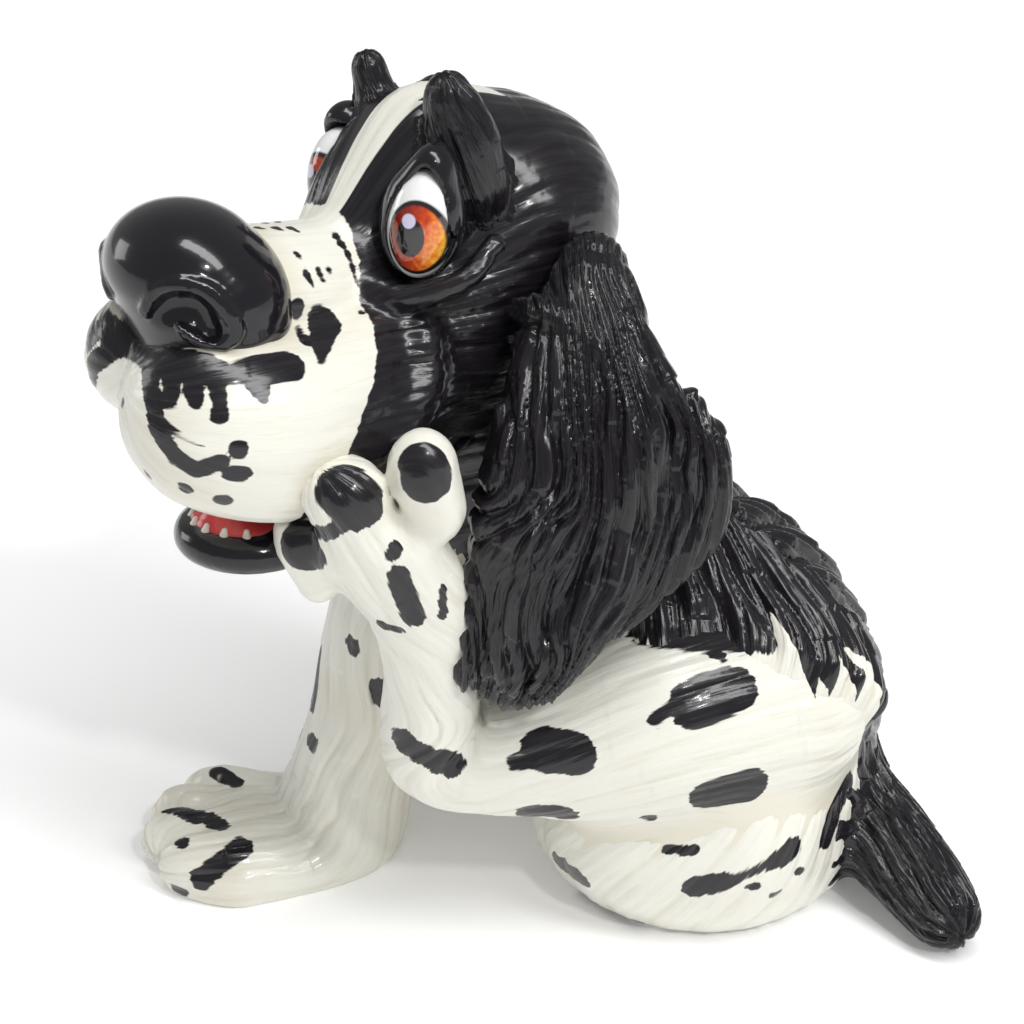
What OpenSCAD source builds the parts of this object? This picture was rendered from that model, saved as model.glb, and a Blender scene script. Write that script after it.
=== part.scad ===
// Sitting spaniel, a glazed ceramic figurine built from slip-cast and hand-modelled pieces
// that are luted together. Units are millimetres. The dog faces -Y, its left side is +X and
// +Z is up. Each piece is drawn about a point on the table under the chest, and then the
// whole figure is set down with the middle of its outline over the origin.

/* [Body casting] */
// Wall thickness of the hollow body and head castings
wall = 4; // [3:0.5:5]
// Half width of the rump
rump_half_w = 31; // [29:1:33]
// Diameter of the vent hole in the base
vent_d = 8; // [5:1:12]
// Depth of the recess inside the foot ring
foot_recess = 1.5; // [1:0.5:2]
// Width of the foot ring
foot_ring_w = 5; // [3:1:8]

/* [Head] */
// Angle that the head turns to the dog's left
head_turn = 44; // [36:1:50]
// Angle that the muzzle lifts
head_lift = 5; // [0:1:8]
// Angle that the left side of the head tips up
head_tilt = 5; // [0:1:8]
// Width of the nose
nose_w = 33; // [29:1:34]
// Height of the nose
nose_h = 25; // [22:1:27]
// Distance between the middles of the eyes
eye_gap = 29; // [27:1:31]
// Height of the eyeball opening
eye_h = 17; // [14:1:19]

/* [Ears and coat] */
// Thickness of an ear at its middle
ear_t = 12; // [10:1:13]
// Thickness of the applied coat over the back
coat_t = 2.5; // [2:0.5:3]

/* [Teeth] */
// Number of teeth along the lower jaw
tooth_count = 6; // [4:1:8]
// Arc that the row of teeth spans
tooth_arc = 110; // [90:5:120]
// Height of a tooth
tooth_h = 3; // [2:0.5:4]

/* [Hidden] */

// Centre of the head, above the chest
head_at = [1, -7, 118.5];
// Middle of the whole figure's outline on the table
middle = [10.37, 11.0, 0];
// Middle of the foot ring under the rump
foot_at = [4, 35];
// Reach of the block that cuts a form flat
room = 150;

black = [0.04, 0.04, 0.045];
white = [0.93, 0.92, 0.86];

// ---- Shared shapes ----

// Sets a piece down with the middle of the figure over the origin
module set_down() {
  translate(-middle) children();
}

// A smooth egg with its own half sizes and turn
module egg(at, half, turn = [0, 0, 0], fine = 24) {
  translate(at) rotate(turn) scale(half) sphere(r = 1, $fn = fine);
}

// A limb that runs smoothly through a row of eggs, each given as [place, half sizes]
module limb(eggs, fine = 20, grow = 0) {
  for (i = [0 : len(eggs) - 2])
    hull()
      for (e = [eggs[i], eggs[i + 1]])
        egg(e[0], e[1] + [grow, grow, grow], is_undef(e[2]) ? [0, 0, 0] : e[2], fine);
}

// Keeps only what is above a level
module above(level) {
  difference() {
    children();
    translate([-room, -room, level - room]) cube([2 * room, 2 * room, room]);
  }
}

// Puts a child that is drawn about the head's centre where the head is
module on_head() {
  translate(head_at) rotate([0, 0, head_turn]) rotate([-head_lift, 0, 0]) rotate([0, -head_tilt, 0])
    children();
}

// Draws a left-hand shape on the side asked for: 1 is left, -1 is right
module side(s) {
  scale([s, 1, 1]) children();
}

// ---- Trunk ----
trunk = [
  [[4, 35, 12], [rump_half_w, 31, 21]],
  [[1, 37, 24], [rump_half_w - 2, 29, 22]],
  [[0, 36, 42], [24, 23, 22]],
  [[0, 17, 60], [20, 17, 20]],
  [[0, 5, 80], [17, 15, 18]],
  [[0, -4, 98], [14, 13, 15]]
];
thigh_rest = [
  [[22, 27, 19], [15, 15, 13]],
  [[23, 42, 20], [14, 15, 15]]
];
chest = [
  [[0, 4, 76], [17, 15, 20]],
  [[2, -6, 58], [16, 17, 22]],
  [[2, -4, 40], [13, 14, 18]],
  [[1, 30, 30], [24, 24, 26]]
];

module trunk_form(grow = 0) {
  limb(trunk, fine = 28, grow = grow);
  limb(chest, fine = 24, grow = grow);
  limb(thigh_rest, fine = 20, grow = grow);
}

// Hollow of the casting, with a flat floor and an open neck that leads into the head
module trunk_cavity() {
  above(wall + foot_recess) {
    limb(trunk, fine = 18, grow = -wall);
    limb(chest, fine = 16, grow = -wall);
  }
  egg([0, -4, 108], [8, 8, 10], fine = 18);
}

module body_shell() {
  color(white)
    above(0) difference() {
      trunk_form();
      trunk_cavity();
      translate([foot_at[0], foot_at[1], -1]) {
        cylinder(r = rump_half_w - foot_ring_w - 6, h = 1 + foot_recess, $fn = 40);
        cylinder(d = vent_d, h = 2 * wall + foot_recess, $fn = 40);
      }
    }
}

module back_coat() {
  color(black)
    difference() {
      intersection() {
        union() {
          trunk_form(grow = coat_t);
          limb([left_hind[0], left_hind[1]], grow = coat_t);
        }
        limb([
          [[2, 78, 16], [12, 10, 8]],
          [[4, 70, 46], [20, 16, 14]],
          [[8, 46, 78], [32, 20, 26]],
          [[0, 20, 104], [26, 22, 16]]
        ]);
      }
      trunk_form();
      left_hind_leg_form();
      tail_form();
      on_head() skull_form();
      limb(left_ear_run);
      limb(right_ear_run);
    }
}

tail_run = [
  [[3, 60, 16], [10, 9, 10]],
  [[12, 68, 12], [9, 9, 9]],
  [[20, 75, 9], [8, 8, 8]],
  [[27, 80, 7], [6, 7, 7]]
];

module tail_form() {
  limb(tail_run, fine = 18);
}

module tail() {
  color(black)
    above(0)
      difference() {
        tail_form();
        trunk_form();
      }
}

// ---- Legs ----
left_fore = [
  [[8, -16, 58], [12, 13, 16]],
  [[9, -23, 40], [9, 10, 12]],
  [[10, -26, 24], [10, 10, 12]],
  [[11, -30, 8], [12, 12, 12]],
  [[14, -34, 3], [14, 13, 8]],
  [[20, -46, 3], [15, 11, 9]]
];
left_toes = [
  [[8, -53, 5], [5, 8, 6.5]],
  [[15, -57, 5], [5, 8, 6.5]],
  [[22.5, -57, 5], [5, 8, 6.5]],
  [[29.5, -52, 5], [5, 8, 6.5]]
];

module left_foreleg_form() {
  limb(left_fore);
  for (toe = left_toes) hull() {
    egg(toe[0], toe[1], fine = 18);
    egg(toe[0] + [-2, 9, -1], toe[1] - [1, 1, 1], fine = 18);
  }
}

module left_foreleg() {
  color(white) above(0) difference() {
    left_foreleg_form();
    trunk_form();
  }
}

right_fore = [
  [[-12, -14, 56], [10, 10, 14]],
  [[-13, -21, 36], [8, 8, 12]],
  [[-14, -25, 18], [8, 8, 11]],
  [[-14, -27, 5], [10, 10, 9]],
  [[-14, -31, 5], [9, 9, 7]]
];

module right_foreleg() {
  color(white) above(0) difference() {
    limb(right_fore);
    trunk_form();
    left_foreleg_form();
  }
}

left_hind = [
  [[15, 44, 40], [17, 20, 19]],
  [[25, 28, 41], [15, 18, 18]],
  [[31, 8, 38], [11, 12, 12]],
  [[34, -8, 38], [9, 9, 9]],
  [[38, -8, 57], [7.5, 8, 9]],
  [[43, -9, 73], [7, 9, 8]],
  [[47, -15, 86], [7, 11, 8]]
];
left_hind_toes = [
  [[45, -27, 85], [6, 5, 6]],
  [[51, -19, 97], [6, 7, 6]],
  [[49, -7, 101], [5.5, 5.5, 7]]
];

module left_hind_leg_form() {
  limb(left_hind);
  for (toe = left_hind_toes) hull() {
    egg(toe[0], toe[1], fine = 18);
    egg(toe[0] + [-1, 2, -7], toe[1] - [1, 1, 1], fine = 18);
  }
}

module left_hind_leg() {
  color(white) above(0) difference() {
    left_hind_leg_form();
    trunk_form();
    left_foreleg_form();
    on_head() skull_form();
  }
}

right_hind = [
  [[-24, 34, 24], [14, 20, 20]],
  [[-28, 16, 18], [11, 14, 16]],
  [[-29, 2, 8], [9, 12, 8]],
  [[-28, -8, 6], [9, 9, 7]]
];

module right_hind_leg() {
  color(white) above(0) difference() {
    limb(right_hind);
    trunk_form();
    limb(right_fore);
  }
}

// ---- Head, drawn about its own centre ----
skull_run = [
  [[0, 6, 4], [20, 20, 19]],
  [[0, -8, -12], [19, 18, 22]],
  [[0, -27, -8], [12, 14, 16]],
  [[0, -44, -2], [12, 10, 11]]
];
near_flew = [
  [[8, -22, -16], [11, 12, 15]],
  [[11, -40, -21], [13.5, 16, 16]],
  [[9, -52, -19], [13, 15, 16]],
  [[3, -57, -18], [9, 10, 13]]
];
far_flew = [
  [[-8, -22, -16], [11, 12, 15]],
  [[-11, -40, -18], [12, 14, 14]],
  [[-9, -54, -12], [11, 12, 11]]
];

module skull_form() {
  limb(skull_run, fine = 28);
  limb(near_flew, fine = 22);
  limb(far_flew, fine = 22);
}

// Hollow of the head casting, open below to the neck
module head_cavity() {
  limb(skull_run, fine = 16, grow = -wall);
}

module nose_form() {
  limb([
    [[0, -54, 5], [nose_w / 2 - 2, 12, nose_h / 2 - 2.5]],
    [[0, -51, -1], [nose_w / 2, 13, nose_h / 2 - 1]]
  ], fine = 28);
}

eye_at = [eye_gap / 2, -19.5, 9.5];
module eye_form() {
  egg(eye_at, [5.5, 6, eye_h / 2], [0, 6, 30], fine = 24);
}

module head_shell() {
  color(black) difference() {
    on_head() skull_form();
    on_head() head_cavity();
    trunk_form();
    on_head() for (s = [-1, 1]) side(s) eye_form();
  }
}

module nose() {
  color(black) difference() {
    on_head() nose_form();
    on_head() skull_form();
  }
}

// Lower jaw and lip, joined to the head behind the flews
module lower_jaw_form() {
  limb([
    [[0, -12, -28], [12, 12, 10]],
    [[0, -28, -38], [11, 10, 8]],
    [[0, -46, -42], [11, 10, 5]]
  ], fine = 20);
}

module lower_jaw() {
  color(black) difference() {
    on_head() lower_jaw_form();
    on_head() skull_form();
    left_hind_leg_form();
  }
}

module mouth_lining_form() {
  egg([0, -43, -37.5], [9, 10, 4], fine = 20);
}

module mouth_lining() {
  color("crimson") difference() {
    on_head() mouth_lining_form();
    on_head() skull_form();
    on_head() lower_jaw_form();
    left_hind_leg_form();
  }
}

// A row of small teeth round the front of the lower lip
module lower_teeth() {
  color("ivory") difference() {
    on_head() for (i = [0 : tooth_count - 1]) {
      a = tooth_arc * (i / (tooth_count - 1) - 0.5);
      translate([8 * sin(a), -45 - 8.5 * cos(a), -38.5])
        cylinder(d1 = 2.2, d2 = 1.2, h = tooth_h, $fn = 16);
    }
    on_head() lower_jaw_form();
    on_head() mouth_lining_form();
    on_head() skull_form();
    left_hind_leg_form();
  }
}

module eye(s) {
  color("orange") on_head() side(s) eye_form();
}

module left_eye() { eye(1); }
module right_eye() { eye(-1); }

module eyelid_form() {
  egg(eye_at + [-1, 1.5, 0], [7.5, 5, eye_h / 2 + 2.5], [0, 6, 30], fine = 20);
}

module eyelid(s) {
  color(black) difference() {
    on_head() side(s) eyelid_form();
    on_head() side(s) eye_form();
    on_head() skull_form();
  }
}
module left_eyelid() { eyelid(1); }
module right_eyelid() { eyelid(-1); }

module brow(s) {
  color(black) difference() {
    on_head() side(s) limb([
      [[13, -8, 18], [5, 6, 6]],
      [[14, -11, 26], [4, 4, 6]],
      [[14, -13, 31], [2, 2, 2]]
    ], fine = 16);
    on_head() skull_form();
    on_head() side(s) eyelid_form();
  }
}
module left_brow() { brow(1); }
module right_brow() { brow(-1); }

left_ear_run = [
  [[15, 15, 120], [ear_t / 2, 8, 7], [0, 0, 20]],
  [[24, 15, 108], [ear_t / 2, 14, 11], [0, 0, 24]],
  [[30, 18, 94], [ear_t / 2, 19, 12], [0, 0, 24]],
  [[33, 18, 82], [ear_t / 2, 21, 13], [0, 0, 24]],
  [[38, 13, 68], [ear_t / 2, 15, 11], [0, 0, 16]],
  [[41, 9, 60], [ear_t / 2 - 1, 10, 7], [0, 0, 10]]
];
module left_ear() {
  color(black) difference() {
    limb(left_ear_run);
    on_head() skull_form();
    trunk_form();
    left_hind_leg_form();
  }
}

right_ear_run = [
  [[-19, -15, 120], [ear_t / 2, 8, 6]],
  [[-27, -12, 106], [ear_t / 2, 12, 12]],
  [[-30, -10, 90], [ear_t / 2, 13, 14]],
  [[-28, -8, 76], [ear_t / 2 - 1, 12, 10]]
];
module right_ear() {
  color(black) difference() {
    limb(right_ear_run);
    on_head() skull_form();
    trunk_form();
    limb(right_fore);
  }
}

set_down() body_shell();
set_down() back_coat();
set_down() tail();
set_down() left_foreleg();
set_down() right_foreleg();
set_down() left_hind_leg();
set_down() right_hind_leg();
set_down() head_shell();
set_down() nose();
set_down() lower_jaw();
set_down() mouth_lining();
set_down() lower_teeth();
set_down() left_eye();
set_down() right_eye();
set_down() left_eyelid();
set_down() right_eyelid();
set_down() left_brow();
set_down() right_brow();
set_down() left_ear();
set_down() right_ear();
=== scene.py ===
"""Glazed spaniel figurine: sculpted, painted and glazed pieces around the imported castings."""
import math

import bpy
import numpy as np
from mathutils import Matrix, Vector


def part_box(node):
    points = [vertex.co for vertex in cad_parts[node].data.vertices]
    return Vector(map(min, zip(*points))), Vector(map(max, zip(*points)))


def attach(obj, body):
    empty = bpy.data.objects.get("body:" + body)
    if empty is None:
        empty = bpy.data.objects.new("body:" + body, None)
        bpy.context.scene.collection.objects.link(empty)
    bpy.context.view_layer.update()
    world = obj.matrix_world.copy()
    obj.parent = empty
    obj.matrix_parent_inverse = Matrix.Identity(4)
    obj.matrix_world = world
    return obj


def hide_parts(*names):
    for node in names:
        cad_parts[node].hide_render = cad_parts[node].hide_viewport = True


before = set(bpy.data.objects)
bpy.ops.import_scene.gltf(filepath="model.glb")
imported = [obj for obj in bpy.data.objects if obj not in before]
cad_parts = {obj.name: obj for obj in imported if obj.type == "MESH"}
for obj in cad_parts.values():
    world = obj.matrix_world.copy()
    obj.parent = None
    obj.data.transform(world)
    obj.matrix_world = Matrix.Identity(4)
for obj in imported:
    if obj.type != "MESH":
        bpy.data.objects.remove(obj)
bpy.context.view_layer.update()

MM = 0.001
# The sculpting forms are drawn, in millimetres, about the point on the table under the chest.
UNDER_CHEST = np.array([-10.37, -11.0, 0.0])
# Distances are trusted this far, in millimetres, from each egg's box.
CARE = 12.0


# ---------------------------------------------------------------- sculpting fields

def turn_about(axis, degrees):
    """Rotation matrix for column vectors."""
    a = math.radians(degrees)
    c, s = math.cos(a), math.sin(a)
    i, j = (axis + 1) % 3, (axis + 2) % 3
    m = np.eye(3)
    m[i, i] = m[j, j] = c
    m[i, j] = -s
    m[j, i] = s
    return m


def thread(eggs, pace=1.2):
    """Rows of (x, y, z, three half sizes, turn about Z) set closely along a curve through a few eggs."""
    rows = np.array([tuple(e) + (0,) * (7 - len(e)) for e in eggs], float)
    if len(rows) == 1:
        return rows
    padded = np.vstack([2 * rows[0] - rows[1], rows, 2 * rows[-1] - rows[-2]])
    out = []
    for a, b, c, d in zip(padded, padded[1:], padded[2:], padded[3:]):
        n = max(2, math.ceil(np.linalg.norm(c[:3] - b[:3]) / pace))
        t = np.arange(n)[:, None] / n
        out.append(0.5 * (2 * b + (c - a) * t + (2 * a - 5 * b + 4 * c - d) * t**2
                          + (3 * b - a - 3 * c + d) * t**3))
    return np.vstack(out + [rows[-1:]])


def egg_gap(p, at, half, turn):
    """Nearly the distance from each place to an egg turned about Z: negative inside."""
    q = p - at
    if turn:
        q = q @ turn_about(2, turn)
    reach = np.linalg.norm(q / half, axis=1)
    slope = np.linalg.norm(q / (half * half), axis=1)
    return reach * (reach - 1) / np.maximum(slope, 1e-6)


def limb(*eggs, pace=1.2):
    """Field of a limb that runs smoothly through the eggs: negative inside, in millimetres."""
    rows = thread(eggs, pace)
    key = rows[::4]

    def field(p):
        gap = np.full(len(p), 1e3)
        for row in rows:
            near = (np.abs(p - row[:3]) < row[3:6].max() + CARE).all(1)
            if near.any():
                gap[near] = np.minimum(gap[near], egg_gap(p[near], row[:3], row[3:6], row[6]))
        far = gap > 100
        for row in key:
            rough = np.linalg.norm(p[far] - row[:3], axis=1) - row[3:6].max()
            gap[far] = np.minimum(gap[far], np.maximum(rough, CARE))
        return gap

    return field


def blend(a, b, soft):
    """Smooth union of two distances."""
    h = np.maximum(soft - np.abs(a - b), 0) / soft
    return np.minimum(a, b) - h * h * soft / 4


def carve(a, b, soft):
    """Takes b out of a with a rounded edge."""
    return -blend(-a, b, soft)


def join(first, *others, soft):
    """Forms joined with rounded creases between them."""
    def field(p):
        gap = first(p)
        for other in others:
            gap = blend(gap, other(p), soft)
        return gap
    return field


def luted(piece, bed, soft):
    """A piece with a fillet of slip where it stands on its bed; the fillet sinks under the bed's skin."""
    def field(p):
        own = piece(p)
        return np.maximum(blend(own, bed(p) + 0.15, soft), own - 1.3 * soft)
    return field


def cut_flat(piece):
    """Cuts a form flat where it rests on the table."""
    return lambda p: np.maximum(piece(p), -p[:, 2])


# ---------------------------------------------------------------- noise and hair

def lattice(ix, iy, seed):
    """One repeatable value from 0 to 1 for each whole-number place."""
    h = np.sin(ix * 127.1 + iy * 311.7 + seed * 74.7) * 43758.5453
    return h - np.floor(h)


def drift(x, y, seed=0):
    """Smooth value noise from -1 to 1."""
    ix, iy = np.floor(x), np.floor(y)
    fx, fy = x - ix, y - iy
    fx, fy = fx * fx * (3 - 2 * fx), fy * fy * (3 - 2 * fy)
    low = lattice(ix, iy, seed) * (1 - fx) + lattice(ix + 1, iy, seed) * fx
    high = lattice(ix, iy + 1, seed) * (1 - fx) + lattice(ix + 1, iy + 1, seed) * fx
    return 2 * (low * (1 - fy) + high * fy) - 1


def locks(u, v, wide, long, wave, seed):
    """Height from 0 to 1 of combed locks: rounded on top, sharp between, with stepped tips."""
    u = u + wave * drift(u / (6 * wide), v / long, seed) + 0.4 * wave * drift(u / (3 * wide), 2.3 * v / long, seed + 5)
    cell = np.floor(u / wide)
    across = u / wide - cell
    ridge = np.sin(math.pi * across) ** 0.75
    tip = (v / long + lattice(cell, cell * 0, seed + 9)) % 1.0
    return ridge * (0.72 + 0.28 * tip)


# ---------------------------------------------------------------- skins

def skin(field, low, high, step):
    """Quads over the zero level of a field, one vertex in each cell that the surface crosses."""
    block = 6
    low = np.asarray(low, float) - 2 * step
    counts = np.ceil((np.asarray(high, float) + 2 * step - low) / (step * block)).astype(int)
    coarse = np.stack(np.meshgrid(*[np.arange(n) for n in counts], indexing="ij"), -1).reshape(-1, 3)
    middle = low + (coarse * block + (block - 1) / 2) * step
    gap = field(middle)
    volume = np.repeat(np.repeat(np.repeat(
        gap.reshape(counts).astype(np.float32), block, 0), block, 1), block, 2)
    hot = coarse[np.abs(gap) < step * block * 1.1 + 0.8]
    cell = np.stack(np.meshgrid(*[np.arange(block)] * 3, indexing="ij"), -1).reshape(-1, 3)
    for part in np.array_split(hot, max(1, len(hot) // 900)):
        at = (part[:, None] * block + cell).reshape(-1, 3)
        volume[at[:, 0], at[:, 1], at[:, 2]] = field(low + at * step)
    for axis in range(3):
        edge = np.moveaxis(volume, axis, 0)
        edge[0] = edge[-1] = 1.0
    size = np.array(volume.shape)
    inside = volume < 0
    quads, points = [], []
    for axis in range(3):
        u, v = (axis + 1) % 3, (axis + 2) % 3
        flat = np.moveaxis(inside, axis, 0)
        start = np.argwhere(flat[:-1] != flat[1:])
        at = np.empty_like(start)
        order = [axis] + [i for i in range(3) if i != axis]
        for k, i in enumerate(order):
            at[:, i] = start[:, k]
        other = at.copy()
        other[:, axis] += 1
        a = volume[at[:, 0], at[:, 1], at[:, 2]]
        b = volume[other[:, 0], other[:, 1], other[:, 2]]
        cross = at.astype(float)
        cross[:, axis] += a / (a - b)
        ring = []
        for du, dv in ((-1, -1), (0, -1), (0, 0), (-1, 0)):
            c = at.copy()
            c[:, u] += du
            c[:, v] += dv
            ring.append(np.ravel_multi_index(c.T, size))
        ring = np.stack(ring, 1)
        ring[a > 0] = ring[a > 0][:, ::-1]
        quads.append(ring)
        points.append(cross)
    quads, points = np.vstack(quads), np.vstack(points)
    names, index = np.unique(quads, return_inverse=True)
    index = index.reshape(quads.shape)
    tally = np.bincount(index.ravel(), minlength=len(names))
    verts = np.stack([
        np.bincount(index.ravel(), np.repeat(points[:, i], 4), len(names)) / tally for i in range(3)], 1)
    return low + verts * step, index


def new_mesh_object(name, verts, quads, finer=1):
    """A Blender object from a skin in millimetres, made finer by rounds of smooth subdivision."""
    mesh = bpy.data.meshes.new(name)
    mesh.from_pydata(((verts + UNDER_CHEST) * MM).tolist(), [], quads.tolist())
    obj = bpy.data.objects.new(name, mesh)
    bpy.context.scene.collection.objects.link(obj)
    if finer:
        smooth = obj.modifiers.new("finer", "SUBSURF")
        smooth.levels = finer
        smooth.render_levels = finer
        ready = obj.evaluated_get(bpy.context.evaluated_depsgraph_get())
        fine = bpy.data.meshes.new_from_object(ready)
        obj.modifiers.clear()
        obj.data = fine
        bpy.data.meshes.remove(mesh)
        fine.name = name
    obj.data.shade_smooth()
    return obj


def points_of(obj):
    """Vertex places about the chest point and unit normals, in millimetres."""
    count = len(obj.data.vertices)
    place, normal = np.empty(count * 3), np.empty(count * 3)
    obj.data.vertices.foreach_get("co", place)
    obj.data.vertex_normals.foreach_get("vector", normal)
    return place.reshape(-1, 3) / MM - UNDER_CHEST, normal.reshape(-1, 3)


def move_points(obj, place):
    """Puts the vertices at places given about the chest point."""
    obj.data.vertices.foreach_set("co", ((place + UNDER_CHEST) * MM).ravel())
    obj.data.update()


def keep_value(obj, name, values):
    """Keeps one number on each vertex for the materials."""
    layer = obj.data.attributes.new(name, "FLOAT", "POINT")
    layer.data.foreach_set("value", np.asarray(values, np.float32))


def keep_vector(obj, name, values):
    """Keeps three numbers on each vertex for the materials."""
    layer = obj.data.attributes.new(name, "FLOAT_VECTOR", "POINT")
    layer.data.foreach_set("vector", np.asarray(values, np.float32).ravel())


# ---------------------------------------------------------------- combing

def limb_frame(p, eggs, pace=2.5):
    """For each place: offsets across, above, ahead and as a share of the width, arc length and radius."""
    rows = thread(eggs, pace)
    centre, radius = rows[:, :3], rows[:, 3:6].mean(1)
    along = np.concatenate([[0], np.cumsum(np.linalg.norm(np.diff(centre, axis=0), axis=1))])
    forward = np.gradient(centre, axis=0)
    forward /= np.linalg.norm(forward, axis=1)[:, None]
    side = np.cross(forward, (0.05, 0.02, 1.0))
    side /= np.linalg.norm(side, axis=1)[:, None]
    above = np.cross(side, forward)
    turn = np.radians(rows[:, 6])
    wide = np.stack([-np.sin(turn), np.cos(turn), 0 * turn], 1) / rows[:, 4:5]
    table = np.hstack([centre, side, above, forward, wide, along[:, None], radius[:, None]])
    out = []
    for part in np.array_split(p, max(1, len(p) // 20000)):
        gap = np.linalg.norm(part[:, None] - centre[None], axis=2) - radius
        weight = np.exp((gap.min(1, keepdims=True) - gap) / 1.5)
        mean = (weight / weight.sum(1, keepdims=True)) @ table
        q = part - mean[:, :3]
        out.append(np.stack([(q * mean[:, k:k + 3]).sum(1) for k in (3, 6, 9, 12)] + [mean[:, 15], mean[:, 16]], 1))
    return np.vstack(out).T


def comb_round(eggs):
    """Hair that runs down a limb: across is arc length round its axis."""
    def comb(p):
        across, above, ahead, _, along, radius = limb_frame(p, eggs)
        return np.arctan2(across, above) * radius, along + ahead
    return comb


def comb_flap(eggs, width, sway):
    """Hair that hangs down a flat flap, fans out as the flap widens and sways in long waves."""
    def comb(p):
        _, _, ahead, share, along, _ = limb_frame(p, eggs)
        u, v = share * width / 2, along + ahead
        return u + sway * drift(v / 17, u / 13, 8) + 0.35 * sway * drift(v / 8, u / 7, 9), v
    return comb


def comb_slope(lean):
    """Hair that falls round a standing body, leaning forward by this many degrees."""
    c, s = math.cos(math.radians(lean)), math.sin(math.radians(lean))

    def comb(p):
        round_it = 30 * np.arctan2(p[:, 0] - 4, 46 - p[:, 1])
        return round_it * c - p[:, 2] * s, -round_it * s - p[:, 2] * c
    return comb


def comb_back(p):
    """Locks that leave the spine and sweep down and back over the side."""
    u, v = comb_round(SPINE)(p)
    return u * 0.75 - v * 0.65 * np.sign(u), v * 0.75 + np.abs(u) * 0.65


def comb_head(p):
    """Hair that lies back from the nose over the head, in the head's own directions."""
    q = to_head(p)
    return 17 * np.arctan2(q[:, 0], q[:, 2] + 12), q[:, 1] - 0.35 * q[:, 2]


# ---------------------------------------------------------------- forms

# Each egg is (x, y, z, three half sizes) in millimetres, and a turn about Z in degrees where it has one.
# Eggs of the body and ears are about the chest point; SKULL to JAW are about the head's own centre.
HEAD_AT = np.array([1.0, -7.0, 118.5])
HEAD_TURN = turn_about(2, 44) @ turn_about(0, -5) @ turn_about(1, -5)


def to_head(p):
    """Places about the head's own centre: x to its left, -y to its front, z up."""
    return (p - HEAD_AT) @ HEAD_TURN


def on_head(field):
    return lambda p: field(to_head(p))


def swap_side(row):
    """The same egg on the right-hand side."""
    x, *rest = row
    return (-x, *rest)


TRUNK = ((4, 35, 12, 31, 31, 21), (1, 37, 24, 29, 29, 22), (0, 36, 42, 24, 23, 22), (0, 17, 60, 20, 17, 20),
         (0, 5, 80, 17, 15, 18), (0, -4, 98, 14, 13, 15))
CHEST = ((0, 4, 76, 17, 15, 20), (2, -6, 58, 16, 17, 22), (2, -4, 40, 13, 14, 18), (1, 30, 30, 24, 24, 26))
THIGH_REST = ((22, 27, 19, 15, 15, 13), (23, 42, 20, 14, 15, 15))
SPINE = ((0, 0, 92, 16, 16, 16), (0, 14, 70, 20, 20, 20), (1, 32, 46, 26, 26, 26), (2, 42, 20, 28, 28, 28))
TAIL = ((3, 60, 16, 9, 8, 9), (12, 68, 12, 8.3, 8.3, 8.3), (20, 75, 9, 7.4, 7.4, 7.4), (27, 80, 7, 5.2, 6, 6.3))
LEFT_FORE = ((8, -16, 58, 12, 13, 16), (9, -23, 40, 9, 10, 12), (10, -26, 24, 10, 10, 12),
             (11, -30, 8, 12, 12, 12), (14, -34, 3, 14, 13, 8), (20, -46, 3, 15, 11, 9))
LEFT_TOES = ((8, -53, 5), (15, -57, 5), (22.5, -57, 5), (29.5, -52, 5))
FORE_FEATHER = ((12, -24, 46, 6, 6, 10), (13, -26, 28, 7, 7, 10), (14, -27, 12, 9, 9, 8), (14, -29, 4, 10, 9, 6))
RIGHT_FORE = ((-12, -14, 56, 10, 10, 14), (-13, -21, 36, 8, 8, 12), (-14, -25, 18, 8, 8, 11),
              (-14, -27, 5, 10, 10, 9), (-14, -31, 5, 9, 9, 7))
LEFT_HIND = ((15, 44, 40, 17, 20, 19), (25, 28, 41, 15, 18, 18), (31, 8, 38, 11, 12, 12), (34, -8, 38, 9, 9, 9),
             (38, -8, 57, 7.5, 8, 9), (43, -9, 73, 7, 9, 8), (47, -15, 86, 7, 11, 8))
HIND_TOES = ((45, -27, 85, 6, 5, 6), (51, -19, 97, 6, 7, 6), (49, -7, 101, 5.5, 5.5, 7))
RIGHT_HIND = ((-24, 34, 24, 14, 20, 20), (-28, 16, 18, 11, 14, 16), (-29, 2, 8, 9, 12, 8), (-28, -8, 6, 9, 9, 7))
SADDLE = ((2, 78, 16, 12, 10, 8), (4, 70, 46, 20, 16, 14), (8, 46, 78, 32, 20, 26), (0, 20, 104, 26, 22, 16))
SKULL = ((0, 6, 4, 20, 20, 19), (0, -8, -12, 19, 18, 22), (0, -27, -8, 12, 14, 16), (0, -44, -2, 12, 10, 11))
FOREHEAD = ((0, -20, 4, 8, 9, 9), (0, -13, 14, 9, 8, 11), (0, -6, 16, 12, 10, 11), (0, 4, 12, 14, 12, 12))
FAR_RIDGE = ((-6.5, -25.5, 2, 4, 4, 5), (-7, -20.5, 10, 4.5, 4.5, 6), (-7.5, -13, 18, 5, 5, 6))
NEAR_FLEW = ((8, -22, -16, 11, 12, 15), (11, -40, -20.5, 13.5, 16, 15.5), (9, -52, -18, 13, 15, 15.5),
             (3, -57, -17.5, 9, 10, 13))
FAR_FLEW = ((-8, -22, -16, 11, 12, 15), (-11, -40, -18, 12, 14, 14), (-9, -54, -12, 11, 12, 11))
CHEEK_TUFT = ((17, -21, -9, 3, 3, 4), (18.5, -22, -15, 4, 4, 4), (20, -27, -20, 4, 5, 3.5), (21, -33, -22, 3, 4, 3))
NOSE = ((0, -54, 5, 14.5, 12, 10), (0, -51.5, 1, 16.5, 12.8, 10.8), (0, -50.5, -2.5, 16.2, 12.5, 11))
JAW = ((0, -12, -28, 12, 12, 10), (0, -28, -38, 11, 10, 8), (0, -44.5, -43, 11, 10, 5))
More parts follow.
